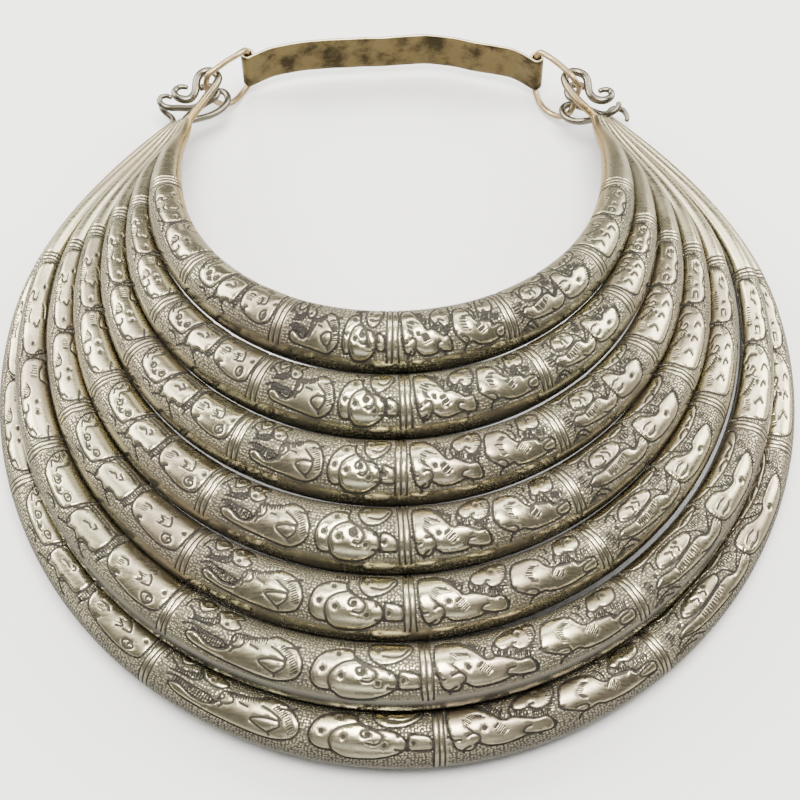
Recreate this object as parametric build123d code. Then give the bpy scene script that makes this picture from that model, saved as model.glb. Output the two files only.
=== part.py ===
from build123d import *
import math
import os

# A rigid ceremonial necklace of seven nested hollow torcs, resting on its outermost torc.
# +X is the wearer's left, -Y is the front, +Z is up. Millimetres.
# The origin is the bottom centre of the whole necklace. The tables below are written from the
# hinge line between the ring ends, and SHIFT carries them to that origin.
SHIFT = Vector(-1.13, 121.73, 0.16)

# Sheet and wire
WALL = 0.8                # sheet the torcs are formed from
TAIL_WIRE_R = 1.25        # drawn-out tail of a torc where it reaches the bundle
TOP_TAIL_R = 1.4          # the same for the uppermost torc, whose tails are heavier
WIRE_PITCH = 1.5          # between the circles a hook wire is lofted through
SWELL = 6.0               # run over which a tail takes on its hook wire's girth
POINTING = 12.0           # run over which a hook wire is drawn down to its tip
LINK_R = 1.1              # wire of the two links
RUN_CLEARANCE = 0.45      # between a link and what is rolled round it
HOLLOW_TO = 0.80          # share of each half of a torc that is hollow, from the front

# One row for each torc, innermost and uppermost first. Each half is an ellipse arc from the
# front to its turn, then a tail that runs into the bundle.
RINGS = [
    # half_w, half_d, centre_y, front_z, turn_z, shift_x, front_r, side_r, tail_r, end_r
    (77.6, 82.42, -56.1, 54.9, 30.1, -0.06, 10.20, 7.66, 5.60, TOP_TAIL_R),
    (86.0, 91.80, -66.7, 48.9, 27.4, -0.32, 10.29, 7.03, 4.15, TAIL_WIRE_R),
    (94.1, 100.29, -78.3, 43.3, 24.5, 0.02, 10.19, 6.97, 3.90, TAIL_WIRE_R),
    (102.8, 109.63, -88.8, 36.5, 21.4, -0.16, 10.40, 6.88, 3.75, TAIL_WIRE_R),
    (111.7, 120.02, -98.0, 29.8, 17.8, -0.11, 9.93, 6.49, 3.75, TAIL_WIRE_R),
    (122.5, 131.21, -106.0, 22.7, 13.7, 1.12, 10.08, 6.86, 3.90, TAIL_WIRE_R),
    (129.6, 136.67, -114.9, 9.1, 6.7, 2.51, 9.26, 6.27, 3.50, TAIL_WIRE_R),
]
TURN = math.radians(96.7)         # angle from the front where the arc gives way to the tail
BUNDLE_START = Vector(72.8, -24.5, 23.1)   # end of the uppermost tail
BUNDLE_STEP = Vector(1.46, 1.91, -2.87)    # from each tail end to the next one down
LEAN_START, LEAN_STEP = 0.099, 0.112       # how far each tail end leans inwards, radians
STATIONS = (0, 0.16, 0.33, 0.5, 0.65, 0.78, 0.87, 0.95, 1.0)
RADIUS_AT = (0, 0.25, 0.5, 0.75, 1.0)      # where the table's radii hold
SHOULDER = 0.66                            # how much of the front's extra girth is left at 0.25

# Wires that go on from the tail ends, side 1 for +X and -1 for -X. Each row has the wire's
# radius, the radius it is drawn down to at its tip, and its centre line from the tail's end on.
HOOK_WIRES = {
    # (ring, side): wire_r, tip_r, centre line
    (1, -1): (1.5, 0.95, [  # upper hook, then the snail curl
        (-69.5, -18.7, 23.2), (-66.2, -12.7, 23.2), (-63.7, -7.9, 23.0), (-63.0, -4.5, 22.6),
        (-64.7, -1.7, 22.2), (-67.4, -0.8, 21.9), (-69.9, -2.4, 21.8), (-71.0, -5.5, 21.7),
        (-71.1, -8.8, 21.7), (-71.7, -11.7, 21.7), (-73.3, -13.6, 21.7), (-75.7, -13.7, 21.8),
        (-78.0, -12.4, 21.9), (-78.7, -10.3, 21.9), (-77.6, -8.5, 21.9), (-75.7, -8.0, 21.9),
        (-74.1, -8.4, 21.9),
    ]),
    (1, 1): (1.5, 0.95, [
        (70.2, -21.0, 23.2), (67.2, -17.1, 23.2), (64.6, -12.7, 23.1), (63.0, -8.6, 22.9),
        (63.0, -5.3, 22.6), (65.0, -3.1, 22.2), (68.0, -2.9, 21.9), (70.5, -4.9, 21.8),
        (71.2, -8.3, 21.7), (71.4, -11.6, 21.7), (72.6, -14.3, 21.7), (74.8, -15.8, 21.8),
        (77.5, -15.7, 21.9), (79.3, -14.0, 21.9), (79.2, -11.9, 21.9), (77.3, -11.0, 21.9),
        (75.0, -11.9, 21.9),
    ]),
    (2, -1): (1.25, 0.9, [  # lower hook, back under the bar, then the second curl
        (-72.0, -21.0, 19.0), (-69.2, -18.2, 16.6), (-66.5, -15.4, 14.4), (-63.5, -11.9, 12.6),
        (-61.1, -8.3, 11.8), (-60.6, -4.5, 11.2), (-62.3, -1.5, 10.8), (-65.0, -0.8, 10.2),
        (-67.7, -2.3, 9.4), (-70.0, -4.8, 8.8), (-72.5, -6.8, 8.8), (-75.6, -7.9, 9.4),
        (-78.6, -8.5, 10.4), (-81.1, -9.1, 11.2), (-83.7, -8.9, 12.0), (-85.4, -7.2, 12.4),
        (-85.0, -5.3, 12.6), (-83.0, -4.8, 12.8), (-81.1, -5.7, 12.8),
    ]),
    (2, 1): (1.25, 1.1, [
        (72.7, -21.9, 18.6), (70.5, -20.5, 16.0), (67.4, -19.1, 13.8), (64.5, -16.9, 12.4),
        (62.6, -13.6, 11.4), (62.9, -10.2, 10.8), (65.0, -8.4, 10.2), (67.9, -8.4, 9.6),
        (71.3, -9.5, 9.2), (74.1, -10.9, 9.2), (76.6, -12.7, 10.0), (79.2, -13.6, 11.3),
        (81.4, -13.1, 12.2), (82.8, -11.7, 12.8), (83.0, -10.0, 13.2),
    ]),
    (3, -1): (1.25, 1.25, [  # middle hook, its cut end behind the bar
        (-73.8, -17.4, 17.0), (-70.8, -14.0, 16.6), (-67.7, -11.0, 16.3), (-64.7, -8.3, 16.0),
        (-63.9, -5.4, 15.7), (-65.5, -3.1, 15.5), (-68.2, -2.7, 15.6), (-70.5, -4.0, 15.9),
    ]),
    (3, 1): (1.25, 1.25, [
        (73.6, -18.2, 17.2), (70.6, -15.2, 16.8), (67.3, -12.3, 16.4), (64.7, -9.4, 16.0),
        (64.2, -6.3, 15.7), (65.7, -3.9, 15.5), (68.3, -3.5, 15.6), (70.8, -5.2, 15.9),
    ]),
    (7, -1): (1.25, 0.9, [  # short horn below the second curl
        (-80.9, -11.9, 6.1), (-81.3, -10.3, 6.5), (-82.7, -9.0, 7.0), (-84.3, -7.8, 7.5),
        (-85.4, -6.1, 7.8), (-85.5, -4.3, 8.0),
    ]),
    (7, 1): (1.35, 0.9, [
        (80.6, -11.9, 6.0), (80.0, -10.2, 6.2), (80.9, -8.4, 6.5), (82.8, -7.8, 6.9), (84.8, -8.7, 7.3),
        (86.1, -10.7, 7.5), (86.5, -12.8, 7.5), (86.2, -14.0, 7.4),
    ]),
}
# Tails of the other torcs stop in the bundle this far past their place in it
TAIL_OVERRUN = {4: 1.0, 5: 0.5, 6: 0.4}

# The strap stands on edge behind the neck. Its ends are rolled round the links.
STRAP_BOTTOM, STRAP_TOP = 4.2, 20.2
STRAP_T = 1.0
STRAP_PATH = [  # plan of its centre line, from the left roll to the right one
    (-53.2, 9.0), (-44.0, 11.6), (-34.0, 14.0), (-19.0, 15.4), (-2.5, 16.0), (14.0, 16.8),
    (24.0, 15.2), (33.0, 12.6), (43.5, 10.2), (53.4, 6.0),
]
ROLL_R = LINK_R + RUN_CLEARANCE + STRAP_T / 2   # centre line of the rolled end
ROLL_TURN = 300           # degrees

LINKS = {  # closed wire loops: up the roll, over the upper hook, down through the hooks and back
    "link_left": [
        (-53.2, 9.0, 4.2), (-53.2, 9.0, 8.0), (-53.2, 9.0, 16.6), (-53.2, 9.0, 20.4),
        (-53.6, 7.9, 23.0), (-56.0, 4.6, 24.7), (-59.5, 1.3, 25.3), (-63.5, -2.6, 25.5),
        (-66.5, -5.0, 24.6), (-67.4, -5.8, 21.8), (-67.4, -5.7, 16.2), (-65.5, -5.2, 10.6),
        (-62.3, -3.7, 6.2), (-58.9, 0.0, 3.8), (-55.9, 5.6, 2.3),
    ],
    "link_right": [
        (53.4, 6.0, 4.2), (53.4, 6.0, 8.0), (53.4, 6.0, 16.6), (53.4, 6.0, 20.4), (54.1, 5.6, 23.0),
        (56.3, 3.2, 24.4), (59.2, -0.1, 25.2), (62.5, -4.1, 25.5), (65.6, -8.3, 25.3),
        (67.6, -9.4, 22.4), (68.0, -7.6, 16.6), (65.8, -11.4, 10.8), (62.5, -10.5, 6.0),
        (58.1, -5.9, 3.0), (54.6, 1.4, 1.8),
    ],
}


def eased(x, knots, values):
    """Monotone cubic through the knots, the same both ways from a flat stretch."""
    count = len(knots)
    steps = [knots[i + 1] - knots[i] for i in range(count - 1)]
    slopes = [(values[i + 1] - values[i]) / steps[i] for i in range(count - 1)]
    tangents = [0.0] + [0.0] * (count - 2) + [slopes[-1]]
    for i in range(1, count - 1):
        before, after = slopes[i - 1], slopes[i]
        if before * after > 0:
            w1 = 2 * steps[i] + steps[i - 1]
            w2 = steps[i] + 2 * steps[i - 1]
            tangents[i] = (w1 + w2) / (w1 / before + w2 / after)
    i = min(max(sum(1 for k in knots if k <= x) - 1, 0), count - 2)
    h = steps[i]
    t = (x - knots[i]) / h
    return (
        (2 * t**3 - 3 * t**2 + 1) * values[i]
        + (t**3 - 2 * t**2 + t) * h * tangents[i]
        + (3 * t**2 - 2 * t**3) * values[i + 1]
        + (t**3 - t**2) * h * tangents[i + 1]
    )


def smooth_step(t):
    t = min(max(t, 0), 1)
    return t * t * (3 - 2 * t)


class Torc:
    """Centre line and girth of one torc, by the share of its half length from the front."""

    def __init__(self, number):
        row = RINGS[number - 1]
        (self.half_w, self.half_d, self.centre_y, self.front_z, self.turn_z, self.shift_x,
         front_r, side_r, tail_r, self.end_r) = row
        shoulder_r = side_r + (front_r - side_r) * SHOULDER
        self.radii = (front_r, shoulder_r, side_r, tail_r, self.end_r)
        self.end = BUNDLE_START + BUNDLE_STEP * (number - 1)
        lean = LEAN_START + LEAN_STEP * (number - 1)
        self.end_dir = Vector(-math.sin(lean), math.cos(lean), 0)
        arc = [self.arc_point(TURN * i / 60) for i in range(61)]
        tail = [self.tail_point(i / 30) for i in range(1, 31)]
        self.points = arc + tail
        self.run = [0.0]
        for a, b in zip(self.points, self.points[1:]):
            self.run.append(self.run[-1] + (b - a).length)

    def arc_point(self, angle):
        fall = (math.cos(angle) - math.cos(TURN)) / (1 - math.cos(TURN))
        z = self.turn_z + (self.front_z - self.turn_z) * fall
        y = self.centre_y - self.half_d * math.cos(angle)
        return Vector(self.half_w * math.sin(angle), y, z)

    def tail_point(self, t):
        start = self.arc_point(TURN)
        along = (start - self.arc_point(TURN * 0.99)).normalized()
        reach = (self.end - start).length
        return (
            start * (2 * t**3 - 3 * t**2 + 1)
            + along * reach * (t**3 - 2 * t**2 + t)
            + self.end * (3 * t**2 - 2 * t**3)
            + self.end_dir * reach * (t**3 - t**2)
        )

    def at(self, share, side):
        """Point on the centre line: share 0 is the front, 1 the bundle."""
        want = share * self.run[-1]
        i = min(max(sum(1 for r in self.run if r <= want) - 1, 0), len(self.run) - 2)
        t = (want - self.run[i]) / (self.run[i + 1] - self.run[i])
        p = self.points[i] * (1 - t) + self.points[i + 1] * t
        front_y = self.centre_y - self.half_d
        lean = min(max((self.end.Y - p.Y) / (self.end.Y - front_y), 0), 1)
        return Vector(p.X * side + self.shift_x * lean, p.Y, p.Z)

    def radius(self, share):
        return eased(share, RADIUS_AT, self.radii)

    def section(self, share, side, inset):
        """Circle square to the centre line."""
        step = 0.004
        low, high = max(share - step, 0), min(share + step, 1)
        ahead = (self.at(high, side) - self.at(low, side)).normalized()
        if share == 0:
            ahead = (self.at(step, 1) - self.at(step, -1)).normalized() * side
        if share == 1:
            ahead = Vector(self.end_dir.X * side, self.end_dir.Y, 0)
        return square_circle(self.at(share, side), ahead, side, self.radius(share) - inset)


def square_circle(point, ahead, side, r):
    """Circle square to a centre line, its seam upwards so that lofts don't twist."""
    along = ahead * side
    up = Vector(0, 0, 1)
    return Plane(point, x_dir=up - along * up.dot(along), z_dir=along) * Circle(r)


def hook_girth(run, length, start_r, wire_r, tip_r):
    """Radius of a hook wire: it swells from the tail's end and is drawn down to its tip."""
    swelling = smooth_step(run / SWELL)
    pointing = smooth_step((length - run) / POINTING)
    full_r = start_r + (wire_r - start_r) * swelling
    return tip_r + (full_r - tip_r) * pointing


def hook_wire(torc, side, wire_r, tip_r, points):
    """Round wire that goes on from a torc's end circle."""
    path = Spline([torc.at(1, side)] + [Vector(*p) for p in points])
    count = round(path.length / WIRE_PITCH)
    circles = [torc.section(1, side, 0)]
    for i in range(1, count + 1):
        share = i / count
        r = hook_girth(share * path.length, path.length, torc.end_r, wire_r, tip_r)
        circles.append(square_circle(path @ share, path % share, side, r))
    return loft(circles)


def straight_tail(torc, side, length):
    ahead = Vector(torc.end_dir.X * side, torc.end_dir.Y, 0)
    return extrude(torc.section(1, side, 0), length, dir=ahead)


def without_cap(faces, near):
    """The faces less the flat end that lies at a point."""
    caps = [f for f in faces if f.geom_type == GeomType.PLANE]
    joined = min(caps, key=lambda f: (f.center() - near).length)
    return [f for f in faces if not f.is_same(joined)]


def ring(number):
    """One torc with the wires that go on from its ends, joined end circle to end circle."""
    torc = Torc(number)
    whole = [(s, -1) for s in reversed(STATIONS[1:])] + [(s, 1) for s in STATIONS]
    skin = list(loft([torc.section(s, side, 0) for s, side in whole]).faces())
    for side in (-1, 1):
        if (number, side) in HOOK_WIRES:
            wire = hook_wire(torc, side, *HOOK_WIRES[(number, side)])
        else:
            wire = straight_tail(torc, side, TAIL_OVERRUN[number])
        end = torc.at(1, side)
        skin = without_cap(skin, end) + without_cap(wire.faces(), end)
    hollow = loft([torc.section(s, side, WALL) for s, side in whole if s <= HOLLOW_TO])
    return Part() + Solid(Shell(skin)) - hollow


def link(points):
    loop = Spline([Vector(*p) for p in points], periodic=True)
    halves = [loop.trim(0, 0.5), loop.trim(0.5, 1)]
    first, second = [sweep(Plane(h @ 0, z_dir=h % 0) * Circle(LINK_R), path=h) for h in halves]
    return first + second


def rolled_end(centre, towards, sign):
    """Inner and outer arcs of a rolled end, and the way the strap leaves it."""
    angle = math.degrees(math.atan2(towards[1] - centre[1], towards[0] - centre[0]))
    leave = angle - sign * 90
    arcs = [
        CenterArc(centre, ROLL_R + offset, leave if sign < 0 else leave - ROLL_TURN, ROLL_TURN)
        for offset in (-STRAP_T / 2, STRAP_T / 2)
    ]
    return arcs, Vector(math.cos(math.radians(angle)), math.sin(math.radians(angle)))


def beside(points, offset):
    """The inner points of a plan line, moved sideways."""
    moved = []
    for before, point, after in zip(points, points[1:], points[2:]):
        along = (Vector(*after) - Vector(*before)).normalized()
        moved.append(Vector(*point) + Vector(-along.Y, along.X) * offset)
    return moved


def nape_strap():
    (left_in, left_out), left_way = rolled_end(STRAP_PATH[0], STRAP_PATH[1], 1)
    (right_in, right_out), right_way = rolled_end(STRAP_PATH[-1], STRAP_PATH[-2], -1)
    ways = [left_way, right_way * -1]
    back = Spline([left_in @ 1] + beside(STRAP_PATH, STRAP_T / 2) + [right_in @ 0], tangents=ways)
    front = Spline([left_out @ 1] + beside(STRAP_PATH, -STRAP_T / 2) + [right_out @ 0], tangents=ways)
    edges = [Line(left_in @ 0, left_out @ 0), Line(right_in @ 1, right_out @ 1)]
    face = make_face([left_in, left_out, right_in, right_out, back, front] + edges)
    return Pos(0, 0, STRAP_BOTTOM) * extrude(face, STRAP_TOP - STRAP_BOTTOM)


pieces = {"ring_%d" % number: ring(number) for number in range(1, len(RINGS) + 1)}
pieces.update({name: link(points) for name, points in LINKS.items()})
pieces["nape_strap"] = nape_strap()

os.makedirs("parts", exist_ok=True)
for name, piece in pieces.items():
    placed = Pos(SHIFT) * piece
    export_step(placed, os.path.join("parts", name + ".step"))
    box = placed.bounding_box()
    print(name, "solids", len(placed.solids()), "low", box.min, "high", box.max)
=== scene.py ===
# %% [markdown]
# # A ceremonial necklace of seven chased torcs
# The solids come in as a fixed frame, and this lesson dresses them. Each torc is drawn down from a
# sheet-metal tube, filled with pitch and chased with little punches: figures are left smooth, their
# outlines are struck as dark grooves, and the ground between them is matted with a ring punch.
# The sheet's drawing is kept here as short charts, one for each panel, and every torc repeats them.

# %% Load the frame
import math

import bpy
import numpy as np
from mathutils import Matrix, Vector
from mathutils.geometry import delaunay_2d_cdt
from mathutils.kdtree import KDTree


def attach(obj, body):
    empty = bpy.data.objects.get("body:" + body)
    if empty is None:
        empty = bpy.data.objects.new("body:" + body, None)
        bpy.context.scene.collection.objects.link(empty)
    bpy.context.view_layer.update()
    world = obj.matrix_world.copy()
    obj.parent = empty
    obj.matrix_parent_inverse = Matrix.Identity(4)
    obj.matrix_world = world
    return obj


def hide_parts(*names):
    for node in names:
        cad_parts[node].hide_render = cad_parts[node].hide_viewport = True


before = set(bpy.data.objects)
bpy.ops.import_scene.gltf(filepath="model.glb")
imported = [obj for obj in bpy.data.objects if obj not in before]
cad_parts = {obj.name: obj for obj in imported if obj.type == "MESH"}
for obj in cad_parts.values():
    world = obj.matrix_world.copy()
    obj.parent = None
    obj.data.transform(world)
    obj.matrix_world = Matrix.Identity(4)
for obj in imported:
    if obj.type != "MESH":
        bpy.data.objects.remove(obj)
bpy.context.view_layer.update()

# %% [markdown]
# ## The centre line of a torc
# A torc is a bent tube whose girth swells towards the front. It could be a Curve object with a bevel,
# but the chasing has to follow its surface, so the centre line, the girth and the directions around it
# are worked out here from the same sizes as the solids, in millimetres. The drawing is then made on a
# flat sheet, millimetres along by millimetres around, and wrapped onto the tube.

# %% Sizes shared with the solids
MM = 0.001
SHIFT = np.array([-1.13, 121.73, 0.16])  # moves the sizes' own origin to the bottom centre
TAIL_WIRE_R, TOP_TAIL_R = 1.25, 1.4      # tails where they reach the bundle
TORCS = [
    # half_w, half_d, centre_y, front_z, turn_z, shift_x, front_r, side_r, tail_r, end_r
    (77.6, 82.42, -56.1, 54.9, 30.1, -0.06, 10.20, 7.66, 5.60, TOP_TAIL_R),
    (86.0, 91.80, -66.7, 48.9, 27.4, -0.32, 10.29, 7.03, 4.15, TAIL_WIRE_R),
    (94.1, 100.29, -78.3, 43.3, 24.5, 0.02, 10.19, 6.97, 3.90, TAIL_WIRE_R),
    (102.8, 109.63, -88.8, 36.5, 21.4, -0.16, 10.40, 6.88, 3.75, TAIL_WIRE_R),
    (111.7, 120.02, -98.0, 29.8, 17.8, -0.11, 9.93, 6.49, 3.75, TAIL_WIRE_R),
    (122.5, 131.21, -106.0, 22.7, 13.7, 1.12, 10.08, 6.86, 3.90, TAIL_WIRE_R),
    (129.6, 136.67, -114.9, 9.1, 6.7, 2.51, 9.26, 6.27, 3.50, TAIL_WIRE_R),
]
TURN = math.radians(96.7)
BUNDLE_START = np.array([72.8, -24.5, 23.1])
BUNDLE_STEP = np.array([1.46, 1.91, -2.87])
LEAN_START, LEAN_STEP = 0.099, 0.112
RADIUS_AT = (0, 0.25, 0.5, 0.75, 1.0)
SHOULDER = 0.66


def eased(x, knots, values):
    """Monotone cubic through the knots, for an array of places."""
    steps = np.diff(knots)
    slopes = np.diff(values) / steps
    tangents = np.zeros(len(knots))
    tangents[-1] = slopes[-1]
    for i in range(1, len(knots) - 1):
        if slopes[i - 1] * slopes[i] > 0:
            w1 = 2 * steps[i] + steps[i - 1]
            w2 = steps[i] + 2 * steps[i - 1]
            tangents[i] = (w1 + w2) / (w1 / slopes[i - 1] + w2 / slopes[i])
    i = np.clip(np.searchsorted(knots, x, side="right") - 1, 0, len(knots) - 2)
    t = (x - np.asarray(knots)[i]) / steps[i]
    values = np.asarray(values)
    return (
        (2 * t**3 - 3 * t**2 + 1) * values[i]
        + (t**3 - 2 * t**2 + t) * steps[i] * tangents[i]
        + (3 * t**2 - 2 * t**3) * values[i + 1]
        + (t**3 - t**2) * steps[i] * tangents[i + 1]
    )


def unit(rows):
    return rows / np.linalg.norm(rows, axis=-1, keepdims=True)


class Torc:
    """Centre line, girth and directions of one torc, by millimetres along from its front."""

    def __init__(self, number):
        (half_w, half_d, centre_y, front_z, turn_z, shift_x,
         front_r, side_r, tail_r, end_r) = TORCS[number - 1]
        self.end_r = end_r

        def arc(angle):
            fall = (np.cos(angle) - math.cos(TURN)) / (1 - math.cos(TURN))
            y = centre_y - half_d * np.cos(angle)
            return np.stack([half_w * np.sin(angle), y, turn_z + (front_z - turn_z) * fall], -1)

        bend = arc(TURN * np.linspace(0, 1, 400))
        end = BUNDLE_START + BUNDLE_STEP * (number - 1)
        lean = LEAN_START + LEAN_STEP * (number - 1)
        end_way = np.array([-math.sin(lean), math.cos(lean), 0.0])
        way = unit(bend[-1] - arc(np.array(TURN * 0.99)))
        reach = np.linalg.norm(end - bend[-1])
        t = np.linspace(0, 1, 200)[1:, None]
        tail = (bend[-1] * (2 * t**3 - 3 * t**2 + 1) + way * reach * (t**3 - 2 * t**2 + t)
                + end * (3 * t**2 - 2 * t**3) + end_way * reach * (t**3 - t**2))
        half = np.vstack([bend, tail])
        run = np.r_[0, np.cumsum(np.linalg.norm(np.diff(half, axis=0), axis=1))]
        nudge = shift_x * np.clip((end[1] - half[:, 1]) / (end[1] - centre_y + half_d), 0, 1)
        right = half + np.outer(nudge, [1, 0, 0])
        left = half * [-1, 1, 1] + np.outer(nudge, [1, 0, 0])
        whole = np.vstack([left[:0:-1], right])
        self.half_run = run[-1]
        self.u = np.linspace(-self.half_run, self.half_run, 3001)
        at = np.r_[-run[:0:-1], run]
        self.centre = np.stack([np.interp(self.u, at, whole[:, k]) for k in range(3)], -1) + SHIFT
        share = np.abs(self.u) / self.half_run
        shoulder_r = side_r + (front_r - side_r) * SHOULDER
        self.girth = eased(share, RADIUS_AT, (front_r, shoulder_r, side_r, tail_r, end_r))
        along = unit(np.gradient(self.centre, axis=0))
        up = np.array([0, 0, 1.0])
        self.up = unit(up - along * (along @ up)[:, None])
        self.out = np.cross(along, self.up)

    def between(self, u, values):
        if values.ndim == 1:
            return np.interp(u, self.u, values)
        return np.stack([np.interp(u, self.u, values[:, k]) for k in range(3)], -1)

    def wrap(self, u, angle, lift):
        """Points on the tube: angle in radians from the top, positive outwards; lift in mm."""
        radial = (self.between(u, self.up) * np.cos(angle)[:, None]
                  + self.between(u, self.out) * np.sin(angle)[:, None])
        return self.between(u, self.centre) + radial * (self.between(u, self.girth) + lift)[:, None]


torcs = {number: Torc(number) for number in range(1, len(TORCS) + 1)}
print("half lengths, mm", {n: round(t.half_run) for n, t in torcs.items()})

# %% [markdown]
# ## The charts of the chased panels
# Between the two cuffs a torc has six panels, parted by struck lines. Such work repeats old patterns:
# leafy beasts with hooked feet, a round-bodied dragon, humped animals that follow one another. They
# could be carved with a texture, but a chaser's line is a real groove with a soft lip, so each line is
# charted as a few points and cut into the mesh. A chart is drawn on paper ruled in its own
# small units, from the inner edge down, and is stretched to the room its panel has on each torc.

# %% Where the panels lie
PANEL_ENDS = {  # share of the half length, from the -X cuff to the +X cuff
    # torc: cuff, A|B, B|C, C|D, D|E, E|F, cuff
    1: (-0.736, -0.448, -0.208, 0.004, 0.221, 0.462, 0.714),
    2: (-0.744, -0.457, -0.216, 0.024, 0.250, 0.469, 0.680),
    3: (-0.757, -0.452, -0.221, 0.014, 0.241, 0.446, 0.692),
    4: (-0.753, -0.468, -0.236, 0.015, 0.233, 0.473, 0.708),
    5: (-0.753, -0.485, -0.237, 0.019, 0.241, 0.489, 0.715),
    6: (-0.753, -0.484, -0.237, 0.029, 0.255, 0.503, 0.719),
    7: (-0.764, -0.490, -0.248, 0.034, 0.258, 0.525, 0.741),
}
PAPER_TOP, PAPER_FOOT = -95.0, 70.0      # degrees from the torc's top at the ruled paper's two edges
GROUND_TOP, GROUND_FOOT = -90.0, 64.0    # the matted ground's edges, in the same degrees
OUTER_GROUND_FOOT = 98.0                 # and on the outermost torc, whose lower side shows
SHEET_R = 9.0                            # girth radius at which the flat sheet is true


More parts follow.
